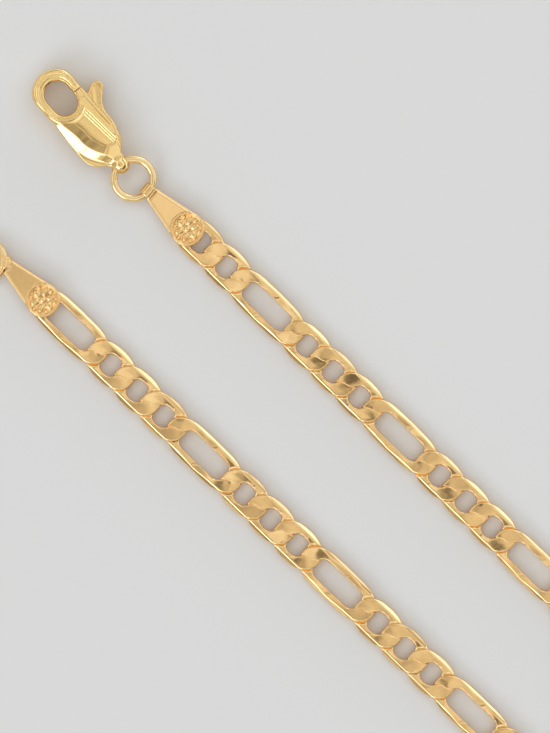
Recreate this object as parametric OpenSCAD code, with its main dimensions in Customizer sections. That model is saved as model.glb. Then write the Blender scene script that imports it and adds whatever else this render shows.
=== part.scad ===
// A figaro chain necklace in yellow gold, laid flat as an open loop: three
// short curb links, then one long one, filed flat on both faces, with a
// stamped tag soldered to each end link, a lobster clasp on a jump ring at one
// end and a plain ring at the other. It is unfastened, and lies on its back
// flats at z = 0. Lengths are in millimetres, angles in degrees.

/* [Chain] */
// Groups of three short links and one long link
groups = 25; // [21:1:29]
// Length that a short link adds to the chain
short_pitch = 3.66; // [3.5:0.02:4]
// Length that a long link adds to the chain
long_pitch = 7.58; // [6.6:0.02:8.4]
// Width of a link across the chain
link_w = 3.88; // [3.7:0.02:4.2]
// Width of the wire, seen from above
wire_w = 0.86; // [0.76:0.01:0.9]
// Thickness of the drawn wire, before its faces are filed
wire_t = 1.12; // [1.04:0.01:1.2]
// Thickness of the filed chain, from flat to flat
chain_t = 1; // [0.9:0.01:1.1]
// Rise and fall of the wire where two links cross
twist_rise = 0.62; // [0.58:0.01:0.7]
// Free play between two links, along the chain
link_play = 0.2; // [0.16:0.01:0.3]
// Half width of the flat that the file leaves along the chain
flat_half_w = 1.33; // [1.2:0.01:1.5]
// Slope of the filed bevel outside that flat
bevel_angle = 38; // [25:1:45]

/* [Lie of the chain] */
// Distance between the two strands at their tags
strand_gap = 15.16; // [13:0.1:18]
// Angle by which each strand leans in, towards the loop
lean = 0.22; // [0:0.02:0.6]
// Radius of the bend that opens each strand into the loop
shoulder_r = 60; // [50:1:70]
// Angle of that bend
shoulder_angle = 50; // [42:1:56]
// How much further out the plain ring's tag lies than the clasp's tag
tag_offset = 5.4; // [3:0.1:7]

/* [End tags] */
// Distance from the tag's round end to the ring wire in its loop
tag_l = 5.4; // [5:0.1:6.4]
// Diameter of the tag's round end
tag_round_d = 3.5; // [3:0.05:3.8]
// Width of the tag's narrow end
tag_neck_w = 1.5; // [1.3:0.05:1.8]
// Width of the loop there
loop_w = 1.3; // [1.1:0.05:1.3]
// Thickness of the tag's plate
tag_t = 0.5; // [0.4:0.02:0.6]
// Height of the plate's top face above the surface
tag_top_z = 1.12; // [1.06:0.01:1.3]
// Width of the raised rim round the tag's face
rim_w = 0.2; // [0.14:0.01:0.3]
// Height of that rim, and of the plain round panel inside it
rim_h = 0.08; // [0.05:0.01:0.14]
// Distance from the tag's edge to that panel
panel_inset = 0.48; // [0.42:0.01:0.6]
// Wall of the loop that holds the ring
loop_wall = 0.22; // [0.2:0.01:0.3]
// Angle by which the plain ring and its loop are turned outwards
ring_swing = 38; // [0:1:45]

/* [Rings] */
// Outer diameter of the jump ring and of the plain end ring
ring_d = 4.7; // [4.5:0.05:5.2]
// Diameter of the ring wire
ring_wire_d = 0.78; // [0.66:0.01:0.82]
// Clearance round the ring wire where it passes through a loop
ring_clear = 0.12; // [0.1:0.01:0.16]

/* [Lobster clasp] */
// Thickness of the clasp's body
clasp_t = 2.6; // [2.4:0.05:2.9]
// Length of the body, from the eye's middle to the foot of the hook
body_l = 7.6; // [7.4:0.05:8]
// Width of the body at its widest
body_w = 4.9; // [4.8:0.05:5.2]
// Width of the hook's band
hook_w = 1.15; // [1:0.05:1.3]
// Thickness of the hook's band
hook_t = 1.9; // [1.7:0.05:2.2]
// Width of the clasp's opening
mouth_w = 2.56; // [2.4:0.02:2.7]
// Length of the straight part of the opening
mouth_straight = 1.1; // [0.9:0.05:1.4]
// Wall of the eye that holds the jump ring
eye_wall = 0.44; // [0.36:0.01:0.5]
// Width of the eye across the clasp
eye_w = 1.4; // [1.2:0.05:1.5]
// Thickness of the lever
lever_t = 1.2; // [1:0.05:1.3]
// Radius of the lever's hub round its pin
hub_r = 0.72; // [0.66:0.01:0.76]
// Radius of the thumb tab's round tip
tab_r = 0.62; // [0.5:0.01:0.66]
// Diameter of the hinge pin
pin_d = 0.6; // [0.5:0.01:0.7]
// Length of the hinge pin, whose ends lie sunk in the cheeks
pin_l = 2.2; // [2:0.05:2.3]
// Clearance between the pin and its bores
pin_clear = 0.03; // [0.02:0.01:0.05]
// Clearance between the lever and the clasp round it
lever_clear = 0.1; // [0.08:0.01:0.14]
// Angle by which the lever swings in when the tab is pressed
lever_travel = 14; // [10:1:15]

/* [Hidden] */
gold = [0.86, 0.66, 0.34];
bright_gold = [0.95, 0.8, 0.45];
$fn = 48;

// Rings, and the holes that they pass through
ring_pitch_r = (ring_d - ring_wire_d) / 2;
hole_r = ring_wire_d / 2 + ring_clear;
loop_r_out = hole_r + loop_wall;
loop_z = loop_r_out;
eye_r_out = hole_r + eye_wall;
clasp_z = clasp_t / 2;
ring_tilt = asin((clasp_z - loop_z) / (2 * ring_pitch_r));
ring_lean = 5.3;
clasp_angle = -5.4;

// The clasp's own frame has the middle of its eye at the origin, the hook
// towards +Y and the lever towards +X, and lies midway at z = 0.
hinge_x = 0.2327 * body_w;
hinge_y = 0.3237 * body_l;
cheek_edge_x = 0.2143 * body_w;
hook_corner = 0.32;
slot_t = lever_t + 2 * lever_clear;
// The opening is a slot with round ends, whose middles lie at its foot and head
mouth_x = -0.0633 * body_w;
mouth_r = mouth_w / 2;
mouth_rise = 0.65;
mouth_foot = body_l + mouth_rise;
mouth_head = mouth_foot + mouth_straight;
// The lever's nose is an arc about the hinge, just past the hook's outer edge
nose_lap = 0.08;
nose_r = norm([mouth_x + mouth_r + hook_w - hinge_x, mouth_foot - hinge_y]) + nose_lap;

// The chain starts at the clasp's tag with two short links and a long one,
// then repeats three short links and a long one as far as the other tag.
lead_shorts = 2;
shorts_per_group = 3;
link_count = lead_shorts + 1 + groups * (shorts_per_group + 1);
function is_long(i) = (i - lead_shorts) % (shorts_per_group + 1) == 0 && i >= lead_shorts;
function pitch_of(i) = is_long(i) ? long_pitch : short_pitch;
function longs_before(i) = i <= lead_shorts ? 0 : ceil((i - lead_shorts) / (shorts_per_group + 1));
function length_before(i) = longs_before(i) * long_pitch + (i - longs_before(i)) * short_pitch;
chain_l = length_before(link_count);

// Route of the chain. The distance q is measured along the loop from its
// lowest point, positive towards the clasp. Each strand is straight, then
// bends out, and a round loop joins the two.
reach_x = strand_gap / 2 + shoulder_r * (cos(lean) - cos(shoulder_angle));
loop_turn = 90 + shoulder_angle;
half_route = (chain_l + tag_offset) / 2;
function arc(r, a) = r * a * PI / 180;
straight_l = (half_route - arc(shoulder_r, shoulder_angle + lean)
              - arc(reach_x / cos(shoulder_angle), loop_turn))
             / (1 - arc(sin(lean) / cos(shoulder_angle), loop_turn));
loop_r = (reach_x - straight_l * sin(lean)) / cos(shoulder_angle);
loop_arc = arc(loop_r, loop_turn);
shoulder_arc = arc(shoulder_r, shoulder_angle + lean);
function on_side(q) =
    q < loop_arc
    ? let (a = q / loop_arc * loop_turn) [loop_r * sin(a), -loop_r * cos(a)]
    : q < loop_arc + shoulder_arc
      ? let (a = shoulder_angle - (q - loop_arc) / shoulder_arc * (shoulder_angle + lean))
        (loop_r + shoulder_r) * [cos(shoulder_angle), sin(shoulder_angle)]
        - shoulder_r * [cos(a), sin(a)]
      : let (s = q - loop_arc - shoulder_arc)
        (loop_r + shoulder_r) * [cos(shoulder_angle), sin(shoulder_angle)]
        - shoulder_r * [cos(lean), -sin(lean)] + s * [sin(lean), cos(lean)];
function on_route(q) = let (p = on_side(abs(q))) [sign(q) * p[0], p[1]];

// The whole is centred on the origin, so the route is moved along Y by this.
clasp_joint = on_route(half_route - tag_offset);
ring_joint = on_route(-half_route);
clasp_tip_y = clasp_joint[1] + tag_l + 2 * ring_pitch_r
              + (mouth_head + mouth_r + hook_w) * cos(clasp_angle);
loop_foot_y = -loop_r - link_w / 2;
y_shift = -(clasp_tip_y + loop_foot_y) / 2;
function joint(i) = on_route(half_route - tag_offset - length_before(i)) + [0, y_shift];

// One link is a wire of six sides swept round a rounded oval. In the link's
// own frame the chain runs along X and lies midway at z = 0; each end of the
// wire rises on one side and falls on the other, so that neighbours cross.
round_power = 2.3;
twist_sharpness = 2;
wire_sides = 6;
function power(x, e) = sign(x) * pow(abs(x), e);
function steps(long) = long
    ? [0, 30, 60, 89.9, 90.1, 120, 150, 180, 210, 240, 269.9, 270.1, 300, 330]
    : [for (k = [0:11]) 30 * k];
function end_round() = (short_pitch + wire_w * 2 + link_play) / 2 - wire_w / 2;
function wire_middle(t, pitch) =
    let (c = cos(t), s = sin(t), swing = 2 * c * s)
    [end_round() * power(c, 2 / round_power) + sign(c) * (pitch - short_pitch) / 2,
     (link_w - wire_w) / 2 * power(s, 2 / round_power),
     -twist_rise * swing * twist_sharpness
     / sqrt(1 + (twist_sharpness * twist_sharpness - 1) * swing * swing)];
function filed_height(v) = min(chain_t / 2, chain_t / 2 - (abs(v) - flat_half_w) * tan(bevel_angle));
function filed(p) = let (top = filed_height(p[1])) [p[0], p[1], max(-top, min(top, p[2]))];
function outward(t, pitch) =
    let (d = wire_middle(t + 0.05, pitch) - wire_middle(t - 0.05, pitch),
         n = sqrt(d[0] * d[0] + d[1] * d[1]))
    [d[1] / n, -d[0] / n, 0];
function wire_ring(t, pitch) =
    let (m = wire_middle(t, pitch), n = outward(t, pitch))
    [for (k = [0:wire_sides - 1])
        let (a = 360 * k / wire_sides)
        filed(m + n * wire_w / 2 * cos(a) + [0, 0, wire_t / 2 * sin(a)])];

module link(pitch) {
    rings = steps(pitch > short_pitch);
    n = len(rings);
    m = wire_sides;
    points = [for (t = rings) each wire_ring(t, pitch)];
    faces = [for (i = [0:n - 1]) for (k = [0:m - 1])
        let (a = i * m + k, b = (i + 1) % n * m + k,
             c = (i + 1) % n * m + (k + 1) % m, d = i * m + (k + 1) % m)
        each [[a, c, b], [a, d, c]]];
    polyhedron(points, faces);
}

// Puts a link of the chain between its two joints on the route
module place_link(i) {
    a = joint(i);
    b = joint(i + 1);
    mid = (a + b) / 2;
    translate([mid[0], mid[1], chain_t / 2])
        rotate(atan2(b[1] - a[1], b[0] - a[0]))
        link(pitch_of(i));
}

// Loose links; the first and the last are soldered to the tags.
half_count = floor(link_count / 2);
module chain_clasp_half() {
    color(gold) for (i = [1:half_count - 1]) place_link(i);
}
module chain_ring_half() {
    color(gold) for (i = [half_count:link_count - 2]) place_link(i);
}

module plain_ring() {
    rotate_extrude($fn = 96) translate([ring_pitch_r, 0]) circle(d = ring_wire_d);
}

// A hole along X that widens to both sides as the ring wire bends in it
module flared_hole(w) {
    rotate([0, 90, 0]) rotate_extrude() difference() {
        translate([0, -w]) square([hole_r + w / 2, 2 * w]);
        translate([hole_r + ring_pitch_r, 0]) circle(r = ring_pitch_r, $fn = 96);
    }
}

// An end tag, in its own frame: the joint with its link is at the origin,
// midway of the chain's thickness, and the ring's loop lies towards +Y.
module tag(swing) {
    plate_z = tag_top_z - tag_t - chain_t / 2;
    // The plate runs on under the loop, for this share of its radius
    under_loop = 0.4;
    neck_y = tag_l - loop_r_out * (1 - under_loop);
    // The straight sides meet the round end this far round from its widest point
    shoulder = 24;
    module outline(inset) {
        r = tag_round_d / 2 - inset;
        w = tag_neck_w / 2 - inset;
        union() {
            circle(r = r);
            polygon([[-w, neck_y], [w, neck_y],
                     [r * cos(shoulder), r * sin(shoulder)],
                     [-r * cos(shoulder), r * sin(shoulder)]]);
        }
    }
    difference() {
        union() {
            translate([0, 0, plate_z]) linear_extrude(tag_t) outline(0);
            translate([0, 0, plate_z + tag_t]) linear_extrude(rim_h) difference() {
                outline(0);
                outline(rim_w);
            }
            // Plain round panel
            translate([0, 0, plate_z + tag_t]) linear_extrude(rim_h)
                circle(r = tag_round_d / 2 - panel_inset);
            translate([0, tag_l, loop_z - chain_t / 2]) rotate(swing)
                rotate([0, 90, 0]) cylinder(r = loop_r_out, h = loop_w, center = true);
        }
        translate([0, tag_l, loop_z - chain_t / 2]) rotate(swing) flared_hole(loop_w);
    }
}

module clasp_tag() {
    color(gold) union() {
        place_link(0);
        translate([joint(0)[0], joint(0)[1], chain_t / 2]) rotate(-lean) tag(ring_lean + lean);
    }
}

module ring_tag() {
    color(gold) union() {
        place_link(link_count - 1);
        translate([joint(link_count)[0], joint(link_count)[1], chain_t / 2])
            rotate(lean) tag(ring_swing);
    }
}

// The jump ring runs from the tag's loop up to the clasp's eye
module at_clasp_ring() {
    loop = joint(0) + tag_l * [sin(lean), cos(lean)];
    out = [-sin(ring_lean), cos(ring_lean)];
    c = loop + ring_pitch_r * cos(ring_tilt) * out;
    translate([c[0], c[1], (loop_z + clasp_z) / 2]) children();
}

module clasp_ring() {
    color(bright_gold) at_clasp_ring() rotate([ring_tilt, 0, 0]) plain_ring();
}

module end_ring() {
    loop = joint(link_count) + tag_l * [-sin(lean), cos(lean)];
    turn = ring_swing + lean;
    // It tips down from the loop until it touches the surface
    tip = asin((loop_z - ring_wire_d / 2) / (2 * ring_pitch_r));
    c = loop + ring_pitch_r * cos(tip) * [-sin(turn), cos(turn)];
    color(bright_gold)
        translate([c[0], c[1], (loop_z + ring_wire_d / 2) / 2]) rotate(turn)
        rotate([-tip, 0, 0]) plain_ring();
}

module at_clasp() {
    at_clasp_ring()
        rotate(clasp_angle)
        translate([0, ring_pitch_r * cos(ring_tilt), (clasp_z - loop_z) / 2])
        children();
}

// Body outline: distance from the eye as a share of the body's length, then
// the left and the right edge as shares of its width
body_sections = [
    [0.05, -0.13, 0.13],
    [0.10, -0.20, 0.15],
    [0.15, -0.35, 0.20],
    [0.21, -0.46, 0.30],
    [0.28, -0.51, 0.38],
    [0.38, -0.53, 0.43],
    [0.45, -0.54, 0.44],
    [0.66, -0.54, 0.44],
    [0.90, -0.54, 0.44],
    [1.05, -0.54, 0.44]];
// Half thickness of the body along it: share of its length, share of clasp_t
body_depths = [[0.05, 0.34], [0.15, 0.40], [0.30, 0.47], [0.45, 0.50],
               [0.80, 0.50], [1.05, 0.42]];
// Half thickness across the body: share of its width, share of clasp_t
body_crown = [[-0.55, 0.17], [-0.48, 0.30], [-0.36, 0.42], [-0.22, 0.50],
              [0.22, 0.50], [0.38, 0.42], [0.46, 0.28]];

module mirrored_profile(rows, length, height) {
    polygon([for (r = rows) [r[0] * length, r[1] * height],
             for (k = [len(rows) - 1:-1:0]) [rows[k][0] * length, -rows[k][1] * height]]);
}

module body_blank() {
    intersection() {
        translate([0, 0, -clasp_t]) linear_extrude(2 * clasp_t) polygon([
            for (s = body_sections) [s[2] * body_w, s[0] * body_l],
            for (k = [len(body_sections) - 1:-1:0])
                [body_sections[k][1] * body_w, body_sections[k][0] * body_l]]);
        rotate([90, 0, 90]) translate([0, 0, -body_w])
            linear_extrude(2 * body_w) mirrored_profile(body_depths, body_l, clasp_t);
        rotate([90, 0, 0]) translate([0, 0, -2 * body_l])
            linear_extrude(2 * body_l) mirrored_profile(body_crown, body_w, clasp_t);
    }
}

// Section of the hook's band, with its corners rounded off
module hook_section() {
    w = hook_w / 2;
    t = hook_t / 2;
    c = hook_corner;
    polygon([[-w, -t + c], [-w + c, -t], [w - c, -t], [w, -t + c],
             [w, t - c], [w - c, t], [-w + c, t], [-w, t - c]]);
}

// The band runs round the opening from inside the body, and ends on the
// lever's side just clear of the lever's nose.
module hook() {
    r = mouth_r + hook_w / 2;
    in_body = body_l * 0.9;
    difference() {
        translate([mouth_x, mouth_head, 0]) {
            rotate_extrude(angle = 180, $fn = 96) translate([r, 0]) hook_section();
            for (side = [-1, 1])
                translate([side * r, 0, 0]) rotate([90, 0, 0])
                linear_extrude(mouth_head - in_body) hook_section();
        }
        intersection() {
            translate([hinge_x, hinge_y, -clasp_t])
                cylinder(r = nose_r + lever_clear, h = 2 * clasp_t, $fn = 96);
            translate([mouth_x, hinge_y, -clasp_t]) cube([body_w, body_l, 2 * clasp_t]);
        }
    }
}

module mouth_cut() {
    translate([mouth_x, 0, -clasp_t]) linear_extrude(2 * clasp_t) {
        translate([0, mouth_foot]) circle(r = mouth_r);
        translate([0, mouth_head]) circle(r = mouth_r);
        translate([-mouth_r, mouth_foot]) square([mouth_w, mouth_straight]);
    }
}

// The two ends of the lever's inner edge at rest, and where they swing in to
inner_foot = [0.061 * body_w, 0.395 * body_l];
inner_head = [0.069 * body_w, 0.8816 * body_l];
function swung_in(p) =
    let (x = p[0] - hinge_x, y = p[1] - hinge_y)
    [hinge_x + x * cos(lever_travel) - y * sin(lever_travel),
     hinge_y + x * sin(lever_travel) + y * cos(lever_travel)];

// Room for the lever between the cheeks, over its whole swing
module lever_slot() {
    foot = swung_in(inner_foot) - [lever_clear, 0];
    head = swung_in(inner_head) - [2 * lever_clear, 0];
    translate([0, 0, -slot_t / 2]) linear_extrude(slot_t) {
        translate([hinge_x, hinge_y]) circle(r = hub_r + lever_clear);
        polygon([[foot[0], hinge_y], foot, [head[0], head[1] - 4 * lever_clear],
                 [head[0], mouth_foot], [body_w, mouth_foot], [body_w, hinge_y]]);
    }
}

// The cheeks stop short of the lever's back, below a short slanting edge
module cheek_cut() {
    foot_y = hinge_y + hub_r + 0.01 * body_w;
    slant = [0.1 * body_w, 0.08 * body_w];
    beyond_y = body_l * 1.1;
    translate([cheek_edge_x, 0, -clasp_t]) linear_extrude(2 * clasp_t)
        polygon([[0, foot_y + slant[1]], [slant[0], foot_y], [body_w, foot_y],
                 [body_w, beyond_y], [0, beyond_y]]);
}

module clasp_body() {
    color(gold) at_clasp() difference() {
        union() {
            difference() {
                body_blank();
                cheek_cut();
            }
            hook();
            rotate([0, 90, 0]) cylinder(r = eye_r_out, h = eye_w, center = true);
        }
        mouth_cut();
        lever_slot();
        flared_hole(eye_w);
        translate([hinge_x, hinge_y, -clasp_t]) cylinder(d = pin_d + 2 * pin_clear, h = 2 * clasp_t);
    }
}

// The lever's back edge from hub to tab: shares of body_w and of body_l
lever_back = [[0.445, 0.442], [0.465, 0.605], [0.457, 0.697]];
tab_middle = [0.657 * body_w, 0.979 * body_l];
tab_root = [0.412 * body_w, 1.008 * body_l];
function on_tab(a) = tab_middle + tab_r * [cos(a), sin(a)];

// The lever from above, with its thumb tab, as it lies at rest
module lever_outline() {
    in_hub = 0.98 * hub_r;
    above_nose = hinge_y + nose_r + hub_r;
    mouth_edge_x = mouth_x + mouth_r;
    translate([hinge_x, hinge_y]) circle(r = hub_r);
    translate(tab_middle) circle(r = tab_r);
    difference() {
        polygon([[hinge_x + in_hub, hinge_y],
                 for (p = lever_back) [p[0] * body_w, p[1] * body_l],
                 on_tab(-40), on_tab(127),
                 tab_root, [tab_root[0], above_nose],
                 [mouth_edge_x, above_nose], [mouth_edge_x, mouth_foot],
                 inner_head, inner_foot,
                 [hinge_x - in_hub, hinge_y]]);
        translate([mouth_x, mouth_foot]) circle(r = mouth_r);
        difference() {
            translate([-body_w, body_l * 0.5]) square([2 * body_w, body_l]);
            translate([hinge_x, hinge_y]) circle(r = nose_r, $fn = 96);
        }
    }
}

module clasp_lever() {
    color(bright_gold) at_clasp() difference() {
        translate([0, 0, -lever_t / 2]) linear_extrude(lever_t) lever_outline();
        translate([hinge_x, hinge_y, -lever_t])
            cylinder(d = pin_d + 2 * pin_clear, h = 2 * lever_t);
    }
}

module clasp_pin() {
    color(bright_gold) at_clasp() translate([hinge_x, hinge_y, -pin_l / 2])
        cylinder(d = pin_d, h = pin_l);
}

chain_clasp_half();
chain_ring_half();
clasp_tag();
ring_tag();
clasp_ring();
end_ring();
clasp_body();
clasp_lever();
clasp_pin();
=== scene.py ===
# %% [markdown]
# # A figaro chain necklace in yellow gold
#
# The necklace lies unfastened on a pale table, seen from straight above: a
# lobster clasp on a jump ring, an end tag, then three short curb links and
# one long one, over and over, back to a second tag. This file dresses the
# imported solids. First it loads them, as a fixed frame that nothing may move.

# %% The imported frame
import math

import bmesh
import bpy
import numpy as np
from mathutils import Matrix, Vector


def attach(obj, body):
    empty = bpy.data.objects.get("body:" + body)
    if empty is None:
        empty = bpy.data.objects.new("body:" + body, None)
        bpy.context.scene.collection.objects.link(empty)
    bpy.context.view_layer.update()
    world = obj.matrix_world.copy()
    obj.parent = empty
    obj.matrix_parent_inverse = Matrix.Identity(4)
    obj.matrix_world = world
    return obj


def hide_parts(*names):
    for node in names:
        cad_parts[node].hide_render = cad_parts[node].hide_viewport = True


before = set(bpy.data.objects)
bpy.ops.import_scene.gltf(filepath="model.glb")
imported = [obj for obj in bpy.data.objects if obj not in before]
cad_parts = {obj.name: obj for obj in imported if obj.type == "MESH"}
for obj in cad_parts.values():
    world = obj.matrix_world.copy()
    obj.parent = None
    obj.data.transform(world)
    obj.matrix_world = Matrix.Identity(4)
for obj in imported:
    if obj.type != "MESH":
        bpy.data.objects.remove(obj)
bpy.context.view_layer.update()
scene = bpy.context.scene
MM = 0.001

# %% [markdown]
# ## Sizes
#
# All sizes are in millimetres, the same ones that the solids were made from.
# Pieces are modelled in millimetres too, about an origin of their own, so
# that each number can be held against a rule. They are moved to their place
# and shrunk to metres last.

# %% Sizes of the chain and of its lie
GROUPS = 25
LEAD_SHORTS = 2
GROUP_SHORTS = 3
SHORT_PITCH = 3.66
LONG_PITCH = 7.58
LINK_W = 3.88
CHAIN_T = 1.0
BEVEL_ANGLE = math.radians(38)
STRAND_GAP = 15.16
LEAN = math.radians(0.22)
SHOULDER_R = 60.0
SHOULDER_ANGLE = math.radians(50)
TAG_OFFSET = 5.4
print("link width and thickness in mm:", LINK_W, CHAIN_T)

# %% Sizes of the tags and the rings
TAG_L = 5.4
TAG_ROUND_D = 3.5
TAG_NECK_W = 1.5
TAG_TOP_Z = 1.12
TAG_T = 0.5
RING_D = 4.7
RING_WIRE_D = 0.78
RING_CLEAR = 0.12
RING_R = (RING_D - RING_WIRE_D) / 2
RING_SWING = math.radians(38)
RING_LEAN = math.radians(5.3)
HOLE_R = RING_WIRE_D / 2 + RING_CLEAR
LOOP_W = 1.3
LOOP_WALL = 0.22
LOOP_R_OUT = HOLE_R + LOOP_WALL
LOOP_Z = LOOP_R_OUT
print("hole for a ring in mm:", round(2 * HOLE_R, 2))

# %% Sizes of the clasp, about the middle of its eye
CLASP_ANGLE = math.radians(-5.4)
CLASP_T = 2.6
BODY_L = 7.6
BODY_W = 4.9
HOOK_W = 1.15
HOOK_T = 1.9
MOUTH_X = -0.0633 * BODY_W
MOUTH_W = 2.56
MOUTH_R = MOUTH_W / 2
MOUTH_RISE = 0.65
MOUTH_STRAIGHT = 1.1
MOUTH_FOOT = BODY_L + MOUTH_RISE
MOUTH_HEAD = MOUTH_FOOT + MOUTH_STRAIGHT
HINGE = (0.2327 * BODY_W, 0.3237 * BODY_L)
CHEEK_EDGE = 0.2143 * BODY_W
LEVER_T = 1.2
LEVER_CLEAR = 0.1
HUB_R = 0.72
TAB_R = 0.62
PIN_D = 0.6
NOSE_LAP = 0.08
NOSE_R = math.hypot(MOUTH_X + MOUTH_R + HOOK_W - HINGE[0], MOUTH_FOOT - HINGE[1]) + NOSE_LAP
print("clasp length in mm:", round(MOUTH_HEAD + MOUTH_R + HOOK_W, 2))


# %% Two helpers: colours and nodes
def linear(hex_colour):
    """An sRGB hex colour as the linear one that the renderer works in."""
    channels = [int(hex_colour[i:i + 2], 16) / 255 for i in (1, 3, 5)]
    return tuple(c / 12.92 if c <= 0.04045 else ((c + 0.055) / 1.055) ** 2.4
                 for c in channels) + (1.0,)


def add(tree, kind, settings=None, **links):
    """Adds a node; each link is a socket's name, or i and its number, with a value or an output."""
    node = tree.nodes.new(kind)
    for name, value in (settings or {}).items():
        setattr(node, name, value)
    for name, value in links.items():
        numbered = name[0] == "i" and name[1:].isdigit()
        socket = node.inputs[int(name[1:]) if numbered else name.replace("_", " ")]
        if isinstance(value, bpy.types.NodeSocket):
            tree.links.new(value, socket)
        else:
            socket.default_value = value
    return node


print("#FFFFFF in linear light:", linear("#FFFFFF"))

# %% [markdown]
# ## Gold
#
# The real thing is fourteen carat yellow gold, polished to a mirror. A metal
# has no colour of its own beyond the tint of what it mirrors, so a finish is
# that tint, a low roughness, and the slight unevenness that the work leaves:
# of the file on the flats, of the drawplate on the wire, and of the mould on
# a casting that has been tumbled bright. To the eye they are one gold, with
# crisper mirrors on the flats. Real polishing marks are hundredths of a
# millimetre wide. They are drawn up to a millimetre wide, so that they show.

# %% Gold, as filed, drawn and cast
CLOUD_MM = 2.4
SMOOTHEST = 0.6
DULLEST = 1.5


def gold(name, tint, deep_tint, roughness, grain_mm, bump_mm):
    """Polished gold whose tint drifts in clouds and whose polish varies with its grain."""
    material = bpy.data.materials.new(name)
    material.use_nodes = True
    tree = material.node_tree
    shader = tree.nodes["Principled BSDF"]
    shader.inputs["Metallic"].default_value = 1.0
    place = add(tree, "ShaderNodeTexCoord").outputs["Object"]
    grain = add(tree, "ShaderNodeTexNoise", Vector=place, Scale=1 / (grain_mm * MM),
                Detail=3.0, Roughness=0.6).outputs["Fac"]
    cloud = add(tree, "ShaderNodeTexNoise", Vector=place, Scale=1 / (CLOUD_MM * MM),
                Detail=2.0).outputs["Fac"]
    colour = add(tree, "ShaderNodeMix", {"data_type": "RGBA"}, i0=cloud,
                 i6=linear(tint), i7=linear(deep_tint)).outputs[2]
    tree.links.new(colour, shader.inputs["Base Color"])
    rough = add(tree, "ShaderNodeMapRange", Value=grain, To_Min=roughness * SMOOTHEST,
                To_Max=roughness * DULLEST).outputs["Result"]
    tree.links.new(rough, shader.inputs["Roughness"])
    bump = add(tree, "ShaderNodeBump", Height=grain, Strength=1.0, Distance=bump_mm * MM)
    tree.links.new(bump.outputs["Normal"], shader.inputs["Normal"])
    return material


filed_gold = gold("filed polished gold", "#FFD592", "#F8CA86", roughness=0.06, grain_mm=0.5,
                  bump_mm=0.0008)
drawn_gold = gold("drawn polished gold wire", "#FFDE9E", "#FAD392", roughness=0.09, grain_mm=0.4,
                  bump_mm=0.0008)
cast_gold = gold("cast tumbled gold", "#FFD890", "#F6CC80", roughness=0.08, grain_mm=0.9,
                 bump_mm=0.0015)
print("finishes:", [m.name for m in bpy.data.materials])

# %% [markdown]
# ## The route
#
# Both strands run straight from their tags, bend out at the shoulders and
# meet in one round loop. A distance along this line gives a place, and the
# joints of the links are marked off along it. The loop's size follows from
# the chain's length, so that the whole closes by itself.

# %% The links in a row
LINKS = LEAD_SHORTS + 1 + GROUPS * (GROUP_SHORTS + 1)


def is_long(i):
    """Two short links lead, then each long link is followed by three short ones."""
    return i >= LEAD_SHORTS and (i - LEAD_SHORTS) % (GROUP_SHORTS + 1) == 0


pitches = [LONG_PITCH if is_long(i) else SHORT_PITCH for i in range(LINKS)]
CHAIN_L = sum(pitches)
print("links:", LINKS, "chain length in mm:", round(CHAIN_L, 1))

# %% The route that the chain lies along
HALF_ROUTE = (CHAIN_L + TAG_OFFSET) / 2
REACH_X = STRAND_GAP / 2 + SHOULDER_R * (math.cos(LEAN) - math.cos(SHOULDER_ANGLE))
LOOP_TURN = math.pi / 2 + SHOULDER_ANGLE
SHOULDER_ARC = SHOULDER_R * (SHOULDER_ANGLE + LEAN)
STRAIGHT_L = ((HALF_ROUTE - SHOULDER_ARC - REACH_X / math.cos(SHOULDER_ANGLE) * LOOP_TURN)
              / (1 - math.sin(LEAN) / math.cos(SHOULDER_ANGLE) * LOOP_TURN))
LOOP_R = (REACH_X - STRAIGHT_L * math.sin(LEAN)) / math.cos(SHOULDER_ANGLE)


def on_route(q):
    """The place at distance q from the loop's foot, positive on the clasp's side."""
    far = abs(q)
    corner = (LOOP_R + SHOULDER_R) * np.array([math.cos(SHOULDER_ANGLE), math.sin(SHOULDER_ANGLE)])
    if far < LOOP_R * LOOP_TURN:
        a = far / LOOP_R
        x, y = LOOP_R * math.sin(a), -LOOP_R * math.cos(a)
    elif far < LOOP_R * LOOP_TURN + SHOULDER_ARC:
        a = SHOULDER_ANGLE - (far - LOOP_R * LOOP_TURN) / SHOULDER_R
        x, y = corner - SHOULDER_R * np.array([math.cos(a), math.sin(a)])
    else:
        s = far - LOOP_R * LOOP_TURN - SHOULDER_ARC
        x, y = (corner - SHOULDER_R * np.array([math.cos(LEAN), -math.sin(LEAN)])
                + s * np.array([math.sin(LEAN), math.cos(LEAN)]))
    return np.array([math.copysign(x, q), y])


clasp_tip_y = (on_route(HALF_ROUTE - TAG_OFFSET)[1] + TAG_L + 2 * RING_R
               + (MOUTH_HEAD + MOUTH_R + HOOK_W) * math.cos(CLASP_ANGLE))
loop_foot_y = -LOOP_R - LINK_W / 2
Y_SHIFT = -(clasp_tip_y + loop_foot_y) / 2
distances = HALF_ROUTE - TAG_OFFSET - np.concatenate([[0], np.cumsum(pitches)])
joints = np.array([on_route(q) for q in distances]) + [0, Y_SHIFT]
print("loop radius in mm:", round(LOOP_R, 2), "centred by:", round(Y_SHIFT, 4))


# %% Mesh helpers
def tidy_normals(mesh, merge=1e-5):
    """Merges doubles and turns all faces outwards."""
    shell = bmesh.new()
    shell.from_mesh(mesh)
    bmesh.ops.remove_doubles(shell, verts=shell.verts, dist=merge)
    bmesh.ops.recalc_face_normals(shell, faces=shell.faces)
    shell.to_mesh(mesh)
    shell.free()


def mesh_object(name, points, faces):
    """A piece made of these points and faces."""
    mesh = bpy.data.meshes.new(name)
    mesh.from_pydata([tuple(p) for p in points], [], faces)
    mesh.validate()
    tidy_normals(mesh)
    piece = bpy.data.objects.new(name, mesh)
    scene.collection.objects.link(piece)
    return piece


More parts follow.
